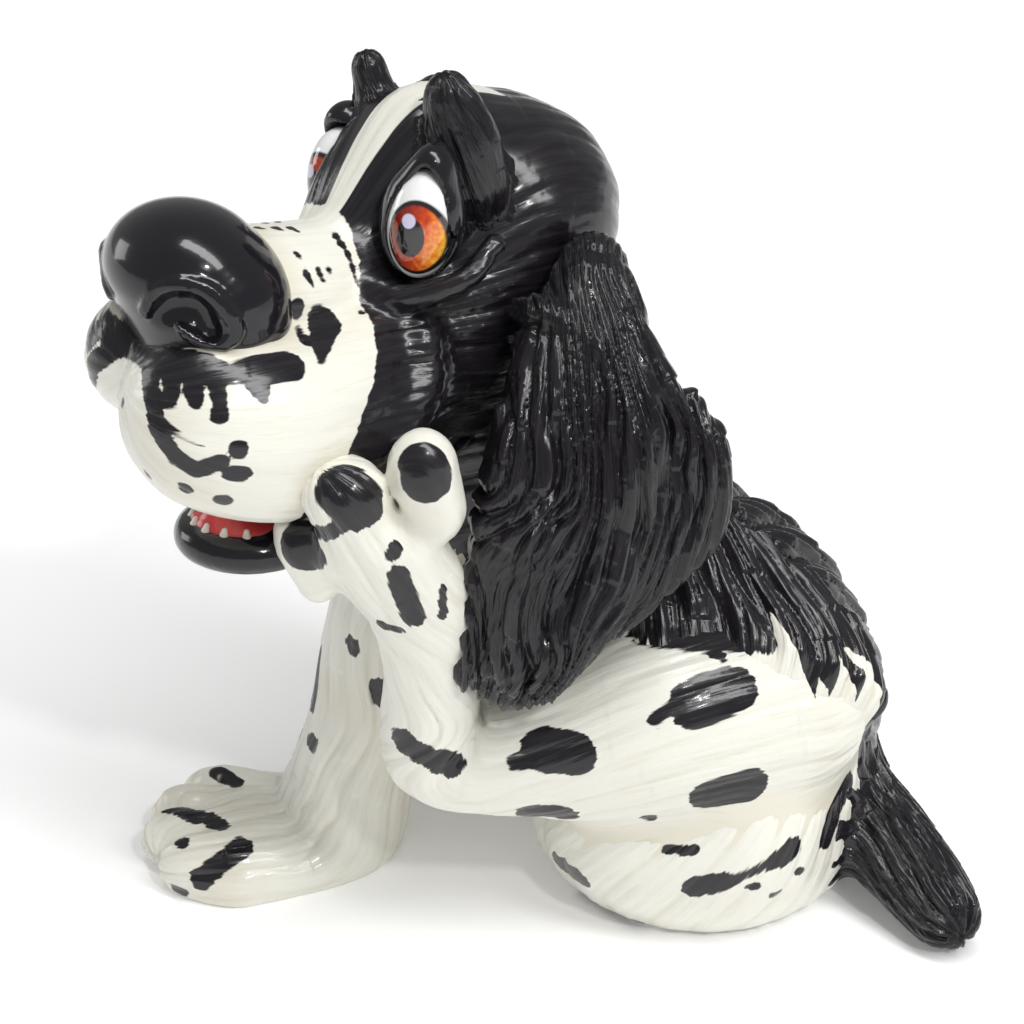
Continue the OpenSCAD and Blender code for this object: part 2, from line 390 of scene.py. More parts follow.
LEFT_EAR = ((15, 15, 120, 6, 8, 7, 20), (24, 15, 108, 6, 14, 11, 24), (30, 17, 94, 6, 20, 12, 24),
            (33, 16.5, 82, 6, 22, 12.5, 24), (38, 9.5, 68, 6, 13.5, 11, 16), (41, 6.5, 60, 5, 10, 7, 10))
RIGHT_EAR = ((-19, -15, 120, 6, 8, 6), (-27, -12, 106, 6, 12, 12), (-30, -10, 90, 6, 13, 14),
             (-28, -8, 76, 5, 12, 10))
EYE_AT = np.array([14.5, -19.5, 9.5])
EYE_HALF = np.array([5.5, 6.0, 9.0])
EYE_TURN = turn_about(2, 30) @ turn_about(1, 6)


def toes(rows, back):
    """Knuckled toes, each one running back into the foot."""
    parts = [limb(row, tuple(np.array(row) + np.array(back + (-1, -1, -1))), pace=1.5) for row in rows]
    return lambda p: np.minimum.reduce([part(p) for part in parts])


trunk = join(limb(*TRUNK, pace=2.5), limb(*CHEST, pace=2.5), limb(*THIGH_REST, pace=2.5), soft=7)
fore_toes = toes([t + (5, 8, 6.5) for t in LEFT_TOES], (-2, 9, -1))
left_fore = join(limb(*LEFT_FORE), limb(*FORE_FEATHER), fore_toes, soft=3)
right_fore = limb(*RIGHT_FORE)
hind_toes = toes(HIND_TOES, (-1, 2, -7))
left_hind = join(limb(*LEFT_HIND, pace=1.5), hind_toes, soft=2.5)
right_hind = limb(*RIGHT_HIND, pace=1.5)
tail_form = limb(*TAIL)
head_form = join(*[limb(*eggs) for eggs in (SKULL, FOREHEAD, FAR_RIDGE, NEAR_FLEW, FAR_FLEW, CHEEK_TUFT)], soft=2.5)
nose_form = limb(*NOSE)
jaw_form = limb(*JAW)


# ---------------------------------------------------------------- painted marks

def marks(p, rows, taper=0.0):
    """Distance to painted marks, each a short stroke from one place to another with its half width."""
    gap = np.full(len(p), 50.0)
    for row in rows:
        a, b, r = np.array(row[:3], float), np.array(row[3:6], float), row[6]
        t = np.clip(((p - a) @ (b - a)) / max((b - a) @ (b - a), 1e-6), 0, 1)
        gap = np.minimum(gap, np.linalg.norm(p - a - t[:, None] * (b - a), axis=1) - r * (1 - taper * t))
    return gap


# Each mark is a start, an end and a half width in millimetres. Those from FLEW_SPOTS on are about the head.
HAUNCH_SPOTS = (
    (32, 42, 54, 35, 35, 52, 4.2), (35, 33.5, 52.5, 37, 29, 50, 1.6), (28, 38, 58, 28, 39, 57.5, 1.2),
    (36, 38.5, 35.5, 34.5, 45, 36, 3.8), (40.5, 11, 44.5, 40.5, 16, 44, 4), (40.5, 10, 43, 40.5, 6, 41.5, 1.6),
    (39, 9, 31, 39.5, 14, 30.5, 3), (37, 28, 30, 37, 29, 30, 1.1), (36.5, 32, 23, 36.5, 36.5, 23.5, 1),
    (25, 12.5, 10, 31, 17, 12, 2.3), (37.5, 36.5, 16, 32.5, 53, 22.5, 2.2), (17, 61, 26, 25, 58.5, 20, 2.4),
    (36.5, 46, 16.5, 36.5, 47.5, 16.5, 0.9), (34, 50, 13.5, 34, 51.5, 13.5, 0.8), (31.5, 54, 17, 31.5, 55, 17, 0.9),
    (21.5, 15.5, 0.5, 29.5, 27, 1.5, 1.1), (-28, 44, 30, -26, 50, 33, 4), (-33, 30, 16, -33, 34, 15, 3),
    (-26, 56, 12, -22, 60, 14, 2.5), (-30, 20, 30, -30, 23, 32, 3.2), (-20, 60, 30, -17, 62, 26, 2))
HOCK_SPOTS = (
    (50, -26, 87, 50.5, -25.5, 86, 4), (56, -18, 100, 56, -16, 98, 4.8), (54, -6, 104, 54, -5.5, 102, 4.2),
    (53, -24, 90, 56, -19, 94, 1.6), (53, -11, 89, 53, -11.5, 88, 1.3), (53, -10.5, 84, 51, -8.5, 75, 2),
    (49.5, -4, 80, 49.5, -4, 75, 0.9), (49.5, -14, 72.5, 49.5, -11, 72, 1), (43, -12, 46, 42, -4.5, 41, 2.6))
FORELEG_SPOTS = (
    (17.5, -25.5, 48, 17.5, -25, 47, 1.7), (18, -21, 39.5, 18, -20.5, 37, 2.1), (12, -33, 41, 13.5, -34, 31, 1.5),
    (17, -33.5, 25.5, 17, -33, 25, 1.8), (11, -37, 24, 11, -36.5, 23, 1.2), (16, -39, 20, 16, -38.5, 19.5, 1),
    (9, -54, 11, 11, -50, 11, 1.6), (20, -60, 11, 23, -54, 12, 2.2), (23, -52, 11, 25.5, -49, 11, 1.6),
    (34.5, -51, 6.5, 29.5, -44.5, 10, 2.2), (33.5, -56, 2.5, 33.5, -55, 2.5, 1.5), (30, -56, 11, 30.5, -55, 11, 1.2),
    (2, -24, 30, 2, -26, 26, 2.2), (0, -36, 6, 2, -40, 6, 2))
RIGHT_SPOTS = (
    (-20, -14, 48, -21, -14, 46, 2.4), (-22, -18, 28, -22, -17, 26, 1.8), (-17, -35, 8, -13, -34, 9, 1.6),
    (-37, 14, 20, -38, 18, 18, 3), (-37, 30, 32, -37, 34, 31, 3.4), (-33, -14, 10, -31, -12, 12, 2))
FLEW_SPOTS = (
    (19, -59.5, -12.5, 19, -59.5, -13, 1.5), (21.5, -58, -18, 21.5, -57.5, -18, 1.4),
    (21, -59, -22, 21, -57, -22, 1.6), (18.5, -59.5, -27.5, 18.5, -59, -27.5, 1.7),
    (15, -64, -25.5, 15, -63.5, -25.5, 1.4), (8, -66.5, -25, 8, -66.5, -25, 1.1),
    (2, -66.5, -14.5, 2, -66.5, -15, 0.7), (10.5, -66.5, -14, 11, -66.5, -14, 0.8))
FLEW_STRIPE = (
    (5, -63, -7), (10.5, -66, -11.5), (12.5, -66.5, -15.5), (15, -65, -19.5), (17.5, -63, -21.5), (20, -60, -20))
NOSE_SHADOW = (
    (8, -63, -7, 19, -58, -6, 2.8), (19, -58, -6, 19.5, -47, -7, 2.7), (-2, -62, -7, 8, -63, -7, 2.6),
    (12, -41, -1, 15, -41.5, -5.5, 1.3), (4, -46, 12, 4, -44, 11, 1.4))
NOSE_STROKES = (
    (12.5, -64.5, -7.5, 14, -64, -14.5, 2.4), (15.5, -62.5, -7.5, 16.8, -61, -15, 2.3),
    (18.2, -59.5, -7.5, 18.9, -58.8, -14, 2.2), (20, -53.5, -7.5, 21, -52.5, -13, 2.6),
    (19, -47, -7, 20.3, -47, -11.5, 2), (10.5, -66, -11.5, 17, -62, -13, 1.6),
    (12, -66.5, -14.5, 18.5, -62, -17.5, 1.6), (13.5, -37, -3.5, 20, -43, -10, 2.9))
BRIDGE_DASHES = (
    (0.5, -41), (1.5, -38.5), (2, -36), (7, -40.5), (7, -38.5), (9.5, -38), (9.5, -35.5), (9.5, -33.5), (12.5, -30.5))


# Lower edge of the black saddle: degrees round the rump from the middle of the back, and height.
SADDLE_EDGE = ((0, 5), (22, 8), (25, 46), (28, 60), (31, 56), (35, 61), (39, 49), (42, 59), (45, 54),
               (48, 51), (50, 55), (53, 50), (56, 60), (59, 66), (62, 60), (66, 58.5), (110, 58.5), (140, 66),
               (180, 78))


def paint_body(p):
    """Black over the back, with tufts that hang over the rump, and spots on the rump and haunch."""
    turn = np.degrees(np.arctan2(np.abs(p[:, 0] - 1), p[:, 1] - 36))
    turn = turn + 1.5 * drift(p[:, 2] / 5, p[:, 1] / 7, 6)
    high = p[:, 2] - 0.5 * (np.abs(p[:, 0]) - 29)
    saddle = (np.interp(turn, *zip(*SADDLE_EDGE)) - high) * 0.6
    return np.minimum(saddle, marks(p, HAUNCH_SPOTS))


def paint_hind_leg(p):
    """The saddle's edge over the haunch, and spots down to the raised paw."""
    haunch = paint_body(p) + np.where(p[:, 1] < 12, 50, 0)
    return np.minimum(haunch, np.minimum(marks(p, HAUNCH_SPOTS), marks(p, HOCK_SPOTS)))


def paint_head(p):
    """White muzzle and blaze on a black head, with dashes on the bridge and freckles on the flews."""
    q = to_head(p)
    muzzle = q[:, 1] + 26.5 + 0.55 * np.maximum(3 - q[:, 2], 0) + 1.6 * drift(q[:, 2] / 5, q[:, 0] / 9, 2)
    blaze = np.maximum(np.abs(q[:, 0]) - 2.2 - 0.12 * (q[:, 2] - 10), q[:, 1] - 4)
    dashes = [(x, y, 8.6 - 0.06 * x * x, x + 1.2, y + 0.7, 8.3 - 0.06 * (x + 1.2) ** 2, 0.75)
              for x, y in BRIDGE_DASHES]
    dashes += [(-x, y, z, -a, b, c, r) for x, y, z, a, b, c, r in dashes[1:]]
    dashes += [(5, -29.5, 7, 7.5, -29, 4.5, 0.8), (7.5, -29, 4.5, 10.5, -29, 0, 0.6),
               (13, -31, -2, 13.5, -30, -4, 0.7)]
    stripe = [a + b + (1.9 - 0.12 * k,) for k, (a, b) in enumerate(zip(FLEW_STRIPE, FLEW_STRIPE[1:]))]
    freckles = list(FLEW_SPOTS) + stripe + list(NOSE_SHADOW)
    both = q.copy()
    both[:, 0] = np.where(q[:, 0] < -1, -q[:, 0] + 2, q[:, 0])
    return np.minimum(np.minimum(-np.minimum(muzzle, blaze), marks(q, dashes, 0.4)),
                      np.minimum(marks(both, freckles), marks(both, NOSE_STROKES, 0.9)))


# ---------------------------------------------------------------- surface pieces

# Width of a sculpting cell in millimetres.
STEP = 1.0


def model(node, form, material, comb=None, hair=(), paint=None, fine=1.0, beside=None, gaze=None, spare=8,
          strength=None):
    """One modelled piece: skinned, combed and painted, riding on the part and standing in for its node.

    Each row of hair is (lock width, lock length, wave, depth, seed). The piece is skinned within its
    casting's box and `spare` millimetres round it.
    """
    low, high = (np.array(c) / MM - UNDER_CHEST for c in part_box(node))
    verts, quads = skin(form, low - spare, high + spare, STEP * fine)
    obj = new_mesh_object(node, *largest(verts, quads))
    p, normal = points_of(obj)
    height = np.zeros(len(p))
    if comb:
        u, v = comb(p)
        for wide, long, wave, deep, seed in hair:
            height += deep * (locks(u, v, wide, long, wave, seed) - 0.55)
        if strength:
            height *= strength(p)
        keep_vector(obj, "comb", np.stack([u, v, height], 1))
        on_table = np.clip(p[:, 2] / 3, 0, 1)
        move_points(obj, p + normal * (height * on_table)[:, None])
    if paint:
        keep_value(obj, "paint", paint(p))
    # painted shade: closeness to the neighbouring piece, which darkens the white glaze in the crease between them
    if beside:
        keep_value(obj, "crease", np.clip(1 - np.abs(beside(p)) / 3, 0, 1))
    if gaze:
        keep_vector(obj, "gaze", gaze(p))
    obj.data.materials.append(material)
    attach(obj, "root")
    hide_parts(node)
    return obj


def largest(verts, quads):
    """Only the biggest closed skin, without crumbs."""
    label = np.arange(len(verts))
    while True:
        low = label[quads].min(1)
        new = label.copy()
        np.minimum.at(new, quads.ravel(), np.repeat(low, 4))
        new = new[new]
        if (new == label).all():
            break
        label = new
    tally = np.bincount(label)
    keep = tally[label] >= max(60, 0.02 * tally.max())
    index = np.cumsum(keep) - 1
    return verts[keep], index[quads[keep[quads[:, 0]]]]


# ---------------------------------------------------------------- materials

def group(name, inputs, outputs):
    """A node group with named sockets: (name, kind, default) for each input and (name, kind) for each output."""
    tree = bpy.data.node_groups.new(name, "ShaderNodeTree")
    for label, kind, value in inputs:
        socket = tree.interface.new_socket(name=label, in_out="INPUT", socket_type="NodeSocket" + kind)
        if value is not None:
            socket.default_value = value
    for label, kind in outputs:
        tree.interface.new_socket(name=label, in_out="OUTPUT", socket_type="NodeSocket" + kind)
    return tree, tree.nodes.new("NodeGroupInput"), tree.nodes.new("NodeGroupOutput")


def node(tree, kind, links=None, **settings):
    """A node with its settings; links maps an input's name or number to a value or a socket."""
    made = tree.nodes.new(kind)
    for key, value in settings.items():
        setattr(made, key, value)
    for key, value in (links or {}).items():
        socket = made.inputs[key]
        if isinstance(value, bpy.types.NodeSocket):
            tree.links.new(value, socket)
        else:
            socket.default_value = value
    return made


def math_of(tree, operation, *values):
    """The result of one sum in a shader."""
    return node(tree, "ShaderNodeMath", dict(enumerate(values)), operation=operation).outputs[0]


def smooth_between(tree, value, low, high):
    """A soft step from 0 at low to 1 at high."""
    made = node(tree, "ShaderNodeMapRange", {"Value": value, "From Min": low, "From Max": high},
                interpolation_type="SMOOTHSTEP")
    return made.outputs["Result"]


def ramp(tree, value, stops):
    """A colour that changes with value through stops of (place, colour)."""
    made = node(tree, "ShaderNodeValToRGB", {"Fac": value})
    while len(made.color_ramp.elements) < len(stops):
        made.color_ramp.elements.new(0.5)
    for stop, (at, colour) in zip(made.color_ramp.elements, stops):
        stop.position = at
        stop.color = colour
    return made.outputs["Color"]


def brushed_paint_group():
    """Black brushwork from the distance to its edge, with bristle streaks along the hair."""
    tree, given, result = group("Brushed paint", (
        ("Distance", "Float", 5.0), ("Hair", "Vector", None), ("Streak depth", "Float", 1.2)),
        (("Black", "Float"), ("Thinning", "Float")))
    combed = node(tree, "ShaderNodeVectorMath", {0: given.outputs["Hair"], 1: (1.1, 0.16, 0.0)}, operation="MULTIPLY")
    streaks = node(tree, "ShaderNodeTexNoise", {"Vector": combed.outputs[0], "Scale": 1.0, "Detail": 3.0})
    push = math_of(tree, "MULTIPLY", math_of(tree, "SUBTRACT", streaks.outputs["Fac"], 0.5),
                   math_of(tree, "MULTIPLY", given.outputs["Streak depth"], 3.0))
    edge = math_of(tree, "ADD", given.outputs["Distance"], push)
    black = smooth_between(tree, edge, 0.12, -0.22)
    thin = math_of(tree, "MULTIPLY", smooth_between(tree, edge, -1.0, 0.1),
                   smooth_between(tree, streaks.outputs["Fac"], 0.5, 0.8))
    tree.links.new(black, result.inputs["Black"])
    tree.links.new(thin, result.inputs["Thinning"])
    return tree


def fine_hair_group():
    """Fine combed strands as a height, from the hair coordinates in millimetres."""
    tree, given, result = group("Fine hair", (
        ("Hair", "Vector", None), ("Strand width", "Float", 0.8), ("Strand length", "Float", 9.0)),
        (("Height", "Float"),))
    parts = node(tree, "ShaderNodeSeparateXYZ", {0: given.outputs["Hair"]})
    across = math_of(tree, "DIVIDE", parts.outputs["X"], given.outputs["Strand width"])
    along = math_of(tree, "DIVIDE", parts.outputs["Y"], given.outputs["Strand length"])
    place = node(tree, "ShaderNodeCombineXYZ", {"X": across, "Y": along})
    coarse = node(tree, "ShaderNodeTexNoise", {"Vector": place.outputs[0], "Scale": 1.0, "Detail": 2.0})
    twice = node(tree, "ShaderNodeVectorMath", {0: place.outputs[0], 1: (2.3, 1.7, 1.0)}, operation="MULTIPLY")
    small = node(tree, "ShaderNodeTexNoise", {"Vector": twice.outputs[0], "Scale": 1.0, "Detail": 1.0})
    height = math_of(tree, "ADD", coarse.outputs["Fac"], math_of(tree, "MULTIPLY", small.outputs["Fac"], 0.5))
    tree.links.new(height, result.inputs["Height"])
    return tree


def shaded_cream_group():
    """White glaze with painted shade: warmer and darker in creases, in grooves and between strands, with random cloudy
    mottling.
    """
    tree, given, result = group("Cream glaze with painted shade", (
        ("Crease", "Float", 0.0), ("Groove", "Float", 0.0), ("Height", "Float", 0.5)),
        (("Color", "Color"),))
    where = node(tree, "ShaderNodeTexCoord").outputs["Object"]
    clouds = node(tree, "ShaderNodeTexNoise", {"Vector": where, "Scale": 45.0, "Detail": 2.0})
    # painted shade: grooves, strand bottoms and creases beside other pieces push the cream towards darker warm tones;
    # the clouds add random mottle
    low = math_of(tree, "MULTIPLY", smooth_between(tree, given.outputs["Groove"], 0.0, -0.4), 0.22)
    shade_and_mottle = math_of(tree, "ADD", low, math_of(tree, "MULTIPLY", given.outputs["Crease"], 0.4))
    shade_and_mottle = math_of(tree, "ADD", shade_and_mottle, math_of(tree, "MULTIPLY", smooth_between(
        tree, clouds.outputs["Fac"], 0.5, 0.8), 0.25))
    shade_and_mottle = math_of(tree, "ADD", shade_and_mottle, math_of(tree, "MULTIPLY", smooth_between(
        tree, given.outputs["Height"], 0.68, 0.5), 0.2))
    cream = ramp(tree, shade_and_mottle, (
        (0.0, (0.8, 0.79, 0.71, 1)), (0.45, (0.72, 0.68, 0.56, 1)), (1.0, (0.5, 0.42, 0.3, 1))))
    tree.links.new(cream, result.inputs["Color"])
    return tree


def black_glaze_group():
    """Black glaze, a little browner and lighter where it runs thin over raised strands."""
    tree, given, result = group("Black glaze colour", (
        ("Height", "Float", 0.5), ("Thinning", "Float", 0.0)), (("Color", "Color"), ("Roughness", "Float")))
    lift = node(tree, "ShaderNodeMix", {"A": (0.006, 0.005, 0.007, 1), "B": (0.016, 0.014, 0.017, 1),
                                        "Factor": smooth_between(tree, given.outputs["Height"], 0.5, 1.0)},
                data_type="RGBA")
    worn = node(tree, "ShaderNodeMix", {"B": (0.19, 0.17, 0.14, 1),
                                        "Factor": math_of(tree, "MULTIPLY", given.outputs["Thinning"], 0.3)},
                data_type="RGBA")
    tree.links.new(lift.outputs["Result"], worn.inputs["A"])
    rough = math_of(tree, "ADD", 0.13, math_of(tree, "MULTIPLY", given.outputs["Height"], 0.1))
    tree.links.new(worn.outputs["Result"], result.inputs["Color"])
    tree.links.new(rough, result.inputs["Roughness"])
    return tree


BRUSHED = brushed_paint_group()
FINE_HAIR = fine_hair_group()
SHADED_CREAM = shaded_cream_group()
BLACK = black_glaze_group()


def new_material(name):
    """A material with its shader tree and its main shader."""
    made = bpy.data.materials.new(name)
    made.use_nodes = True
    tree = made.node_tree
    return made, tree, tree.nodes["Principled BSDF"]


def use(tree, group_tree, links):
    """One of the groups above, placed in a material."""
    return node(tree, "ShaderNodeGroup", links, node_tree=group_tree)


def attribute(tree, name):
    """The numbers kept on the mesh under this name."""
    return node(tree, "ShaderNodeAttribute", attribute_name=name)


def strands(tree, shader, width, length, depth):
    """Fine hair relief on a shader; gives back the hair group and the comb attribute."""
    comb = attribute(tree, "comb")
    hair = use(tree, FINE_HAIR, {"Hair": comb.outputs["Vector"], "Strand width": width, "Strand length": length})
    bump = node(tree, "ShaderNodeBump", {"Height": hair.outputs["Height"], "Strength": depth, "Distance": 0.0006})
    tree.links.new(bump.outputs["Normal"], shader.inputs["Normal"])
    return hair, comb


def gloss(shader, coat=0.35, coat_rough=0.07):
    """The clear glassy layer of a fired glaze."""
    shader.inputs["Coat Weight"].default_value = coat
    shader.inputs["Coat Roughness"].default_value = coat_rough
    shader.inputs["IOR"].default_value = 1.42


def painted_glaze(name, width=0.8, depth=0.5, streak=1.2):
    """White glaze with painted shade in creases and grooves, and black brushwork over combed hair."""
    made, tree, shader = new_material(name)
    hair, comb = strands(tree, shader, width, 10.0, depth)
    groove = node(tree, "ShaderNodeSeparateXYZ", {0: comb.outputs["Vector"]}).outputs["Z"]
    paint = use(tree, BRUSHED, {"Distance": attribute(tree, "paint").outputs["Fac"],
                                "Hair": comb.outputs["Vector"], "Streak depth": streak})
    # painted shade: the white darkens in creases, grooves and between strands
    white = use(tree, SHADED_CREAM, {"Crease": attribute(tree, "crease").outputs["Fac"], "Groove": groove,
                               "Height": hair.outputs["Height"]})
    black = use(tree, BLACK, {"Height": hair.outputs["Height"], "Thinning": paint.outputs["Thinning"]})
    colour = node(tree, "ShaderNodeMix", {"Factor": paint.outputs["Black"], "A": white.outputs["Color"],
                                          "B": black.outputs["Color"]}, data_type="RGBA")
    rough = node(tree, "ShaderNodeMix", {0: paint.outputs["Black"], 2: 0.36, 3: 0.24}, data_type="FLOAT")
    tree.links.new(colour.outputs["Result"], shader.inputs["Base Color"])
    tree.links.new(rough.outputs[0], shader.inputs["Roughness"])
    gloss(shader, 0.3, 0.12)
    return made


def black_hair_glaze(name, width=0.8, depth=1.0):
    """Glossy black over modelled hair."""
    made, tree, shader = new_material(name)
    hair, _ = strands(tree, shader, width, 9.0, depth)
    black = use(tree, BLACK, {"Height": hair.outputs["Height"]})
    tree.links.new(black.outputs["Color"], shader.inputs["Base Color"])
    tree.links.new(black.outputs["Roughness"], shader.inputs["Roughness"])
    shader.inputs["Specular IOR Level"].default_value = 0.35
    gloss(shader)
    return made


def smooth_glaze(name, colour, mottle, rough=0.2):
    """A plain glossy glaze that varies a little in depth over the piece."""
    made, tree, shader = new_material(name)
    where = node(tree, "ShaderNodeTexCoord").outputs["Object"]
    clouds = node(tree, "ShaderNodeTexNoise", {"Vector": where, "Scale": 160.0, "Detail": 3.0})
    mix = node(tree, "ShaderNodeMix", {"Factor": clouds.outputs["Fac"], "A": colour + (1,), "B": mottle + (1,)},
               data_type="RGBA")
    bump = node(tree, "ShaderNodeBump", {"Height": clouds.outputs["Fac"], "Strength": 0.12, "Distance": 0.0005})
    tree.links.new(mix.outputs["Result"], shader.inputs["Base Color"])
    tree.links.new(bump.outputs["Normal"], shader.inputs["Normal"])
    shader.inputs["Roughness"].default_value = rough
    shader.inputs["Specular IOR Level"].default_value = 0.3
    gloss(shader, 0.55, 0.05)
    return made


def painted_eye():
    """White of the eye, an orange iris that goes yellow to one side, black outline, pupil and a painted highlight for
    a lamp's reflection.
    """
    made, tree, shader = new_material("painted_eye")
    gaze = attribute(tree, "gaze").outputs["Vector"]
    parts = node(tree, "ShaderNodeSeparateXYZ", {0: gaze})
    x, z = parts.outputs["X"], parts.outputs["Y"]

    def ring(cx, cz, rx, rz):
        """1 on an oval about a centre, less inside it."""
        a = math_of(tree, "DIVIDE", math_of(tree, "SUBTRACT", x, cx), rx)
        b = math_of(tree, "DIVIDE", math_of(tree, "SUBTRACT", z, cz), rz)
        squares = [math_of(tree, "POWER", side, 2.0) for side in (a, b)]
        return math_of(tree, "SQRT", math_of(tree, "ADD", *squares))

    far = ring(0, 0, 1, 1)
    grain = node(tree, "ShaderNodeTexNoise", {"Vector": gaze, "Scale": 6.0, "Detail": 3.0})
    warm = math_of(tree, "ADD", math_of(tree, "MULTIPLY", x, 0.42), math_of(tree, "MULTIPLY", z, -0.12))
    warm = math_of(tree, "ADD", warm, math_of(tree, "MULTIPLY", grain.outputs["Fac"], 0.55))
    colour = ramp(tree, math_of(tree, "ADD", warm, 0.1), (
        (0.1, (0.22, 0.012, 0.006, 1)), (0.45, (0.52, 0.05, 0.008, 1)), (0.66, (0.8, 0.22, 0.015, 1)),
        (0.9, (0.9, 0.6, 0.06, 1))))
    outline = (0.012, 0.01, 0.012, 1)
    layers = (
        ((0.82, 0.83, 0.82, 1), smooth_between(tree, far, 1.02, 1.06)),
        (outline, math_of(tree, "MULTIPLY", smooth_between(tree, far, 0.9, 0.97),
                          smooth_between(tree, far, 1.1, 1.03))),
        (outline, smooth_between(tree, ring(-0.12, 0.05, 0.52, 0.55), 1.04, 0.96)),
        # painted highlight: a pale spot above the pupil where a lamp's reflection would sit
        ((0.62, 0.6, 0.78, 1), smooth_between(tree, ring(-0.22, 0.5, 0.27, 0.2), 1.1, 0.85)))
    for tint, mask in layers:
        mix = node(tree, "ShaderNodeMix", {"Factor": mask, "A": colour, "B": tint}, data_type="RGBA")
        colour = mix.outputs["Result"]
    tree.links.new(colour, shader.inputs["Base Color"])
    shader.inputs["Roughness"].default_value = 0.12
    gloss(shader, 1.0, 0.03)
    return made


SPOTTED = painted_glaze("spotted_glaze", width=1.0, depth=0.22, streak=0.6)
PIED = painted_glaze("pied_glaze", width=0.7, depth=0.15, streak=0.4)
COAT = painted_glaze("coat_glaze", width=0.9, depth=0.6, streak=1.2)
HAIRY_BLACK = black_hair_glaze("black_hair_glaze")
SMOOTH_BLACK = smooth_glaze("black_glaze", (0.006, 0.005, 0.008), (0.012, 0.011, 0.014))
RED = smooth_glaze("red_glaze", (0.62, 0.03, 0.035), (0.75, 0.1, 0.1))
IVORY = smooth_glaze("ivory_glaze", (0.85, 0.83, 0.76), (0.78, 0.74, 0.62), 0.25)
EYE = painted_eye()


# ---------------------------------------------------------------- the pieces

def away_from(form):
    """Strength of hair that lies down flat beside another piece."""
    return lambda p: np.clip(np.abs(form(p)) / 4, 0.1, 1)


def body():
    """Trunk and rump, with the recess inside the foot ring and the vent hole."""
    ring_at = np.array([4.0, 35.0])

    def form(p):
        gap = cut_flat(trunk)(p)
        reach = np.linalg.norm(p[:, :2] - ring_at, axis=1)
        recess = np.maximum(reach - 20, p[:, 2] - 1.5)
        vent = np.maximum(reach - 4, p[:, 2] - 9)
        return np.maximum(gap, -np.minimum(recess, vent))

    beside = join(left_hind, left_fore, tail_form, soft=1)
    model("body_shell", form, SPOTTED, comb_slope(32), ((6, 24, 3.5, 0.5, 3), (1.9, 12, 1.0, 0.16, 4)),
          paint_body, beside=beside, strength=away_from(beside))


def coat():
    """Slab of modelled hair over neck, back and haunch, thinned away to nothing at its edge."""
    grown = join(trunk, left_hind, soft=6)
    region = join(limb(*SADDLE), limb((12, 42, 70, 15, 12, 12), (23, 28, 68, 16, 14, 12)), soft=3)

    def form(p):
        over = grown(p)
        edge = region(p)
        thick = 3.4 * np.clip(-edge / 7, 0, 1) - 0.9
        return np.maximum(np.maximum(over - thick, -(over + 2.4)), edge - 1)

    model("back_coat", form, COAT, comb_back, ((6.5, 24, 4, 2.4, 11), (2.2, 13, 1.5, 0.9, 12)), paint_body,
          fine=0.9, strength=lambda p: np.clip(-region(p) / 8, 0, 1))


def tail():
    """The solid tail, flat where it rests on the table."""
    model("tail", cut_flat(luted(tail_form, trunk, 4)), HAIRY_BLACK, comb_round(TAIL),
          ((3.5, 14, 2, 1.3, 21), (1.5, 8, 0.7, 0.4, 22)), fine=0.7)


def forelegs():
    """The planted left foreleg and the one behind it."""
    hair = ((4.5, 22, 2, 0.55, 31), (1.8, 11, 0.8, 0.2, 32))
    model("left_foreleg", cut_flat(luted(left_fore, trunk, 4)), SPOTTED, comb_round(LEFT_FORE), hair,
          lambda p: marks(p, FORELEG_SPOTS), fine=0.8, beside=trunk)
    model("right_foreleg", cut_flat(luted(right_fore, trunk, 4)), SPOTTED, comb_round(RIGHT_FORE), hair,
          lambda p: marks(p, RIGHT_SPOTS), fine=0.9, beside=join(trunk, left_fore, soft=1))


def hind_legs():
    """The raised left hind leg and the resting right one."""
    hair = ((6, 24, 3, 0.45, 41), (2.0, 12, 1.0, 0.15, 42))
    model("left_hind_leg", cut_flat(luted(left_hind, trunk, 5)), SPOTTED, comb_round(LEFT_HIND), hair,
          paint_hind_leg, fine=0.9, beside=trunk, strength=away_from(trunk))
    model("right_hind_leg", cut_flat(luted(right_hind, trunk, 5)), SPOTTED, comb_round(RIGHT_HIND), hair,
          lambda p: np.minimum(paint_body(p), marks(p, RIGHT_SPOTS)), fine=1.0, beside=trunk)


def head():
    """Skull and muzzle with a pouch under each eye and sockets for the eyeballs."""
    pouch = ((10, -26, -1, 2, 2, 2), (16, -23, -1.5, 2.2, 2.2, 2), (21, -16, 1.5, 2, 2, 2), (21, -10, 6, 2, 2, 2))
    whole = join(head_form, limb(*pouch), limb(*[swap_side(egg) for egg in pouch[:3]]), soft=2)
    sockets = join(eye_form(1), eye_form(-1), soft=0.5)

    def form(p):
        q = to_head(p)
        return carve(whole(q), sockets(q) - 0.4, 0.6)

    def strength(p):
        q = to_head(p)
        cheek = np.exp(-((q[:, 2] + 15) / 9) ** 2) * np.clip((q[:, 1] + 34) / 6, 0, 1)
        return 0.7 + 0.6 * np.clip((q[:, 1] + 27) / 4, 0, 1) + 0.9 * cheek

    model("head_shell", form, PIED, comb_head, ((5, 18, 2, 0.3, 51), (1.6, 9, 0.6, 0.12, 52)), paint_head,
          beside=join(on_head(nose_form), left_hind, soft=1), strength=strength)


def to_eye(q, s):
    """Places about an eyeball's own centre; the right eye sits a little deeper and nearer the middle."""
    return (q * np.array([s, 1, 1]) - EYE_AT + (s < 0) * np.array([2.5, -2.5, 0])) @ EYE_TURN


def eye_form(s):
    return lambda q: egg_gap(to_eye(q, s), np.zeros(3), EYE_HALF, 0)


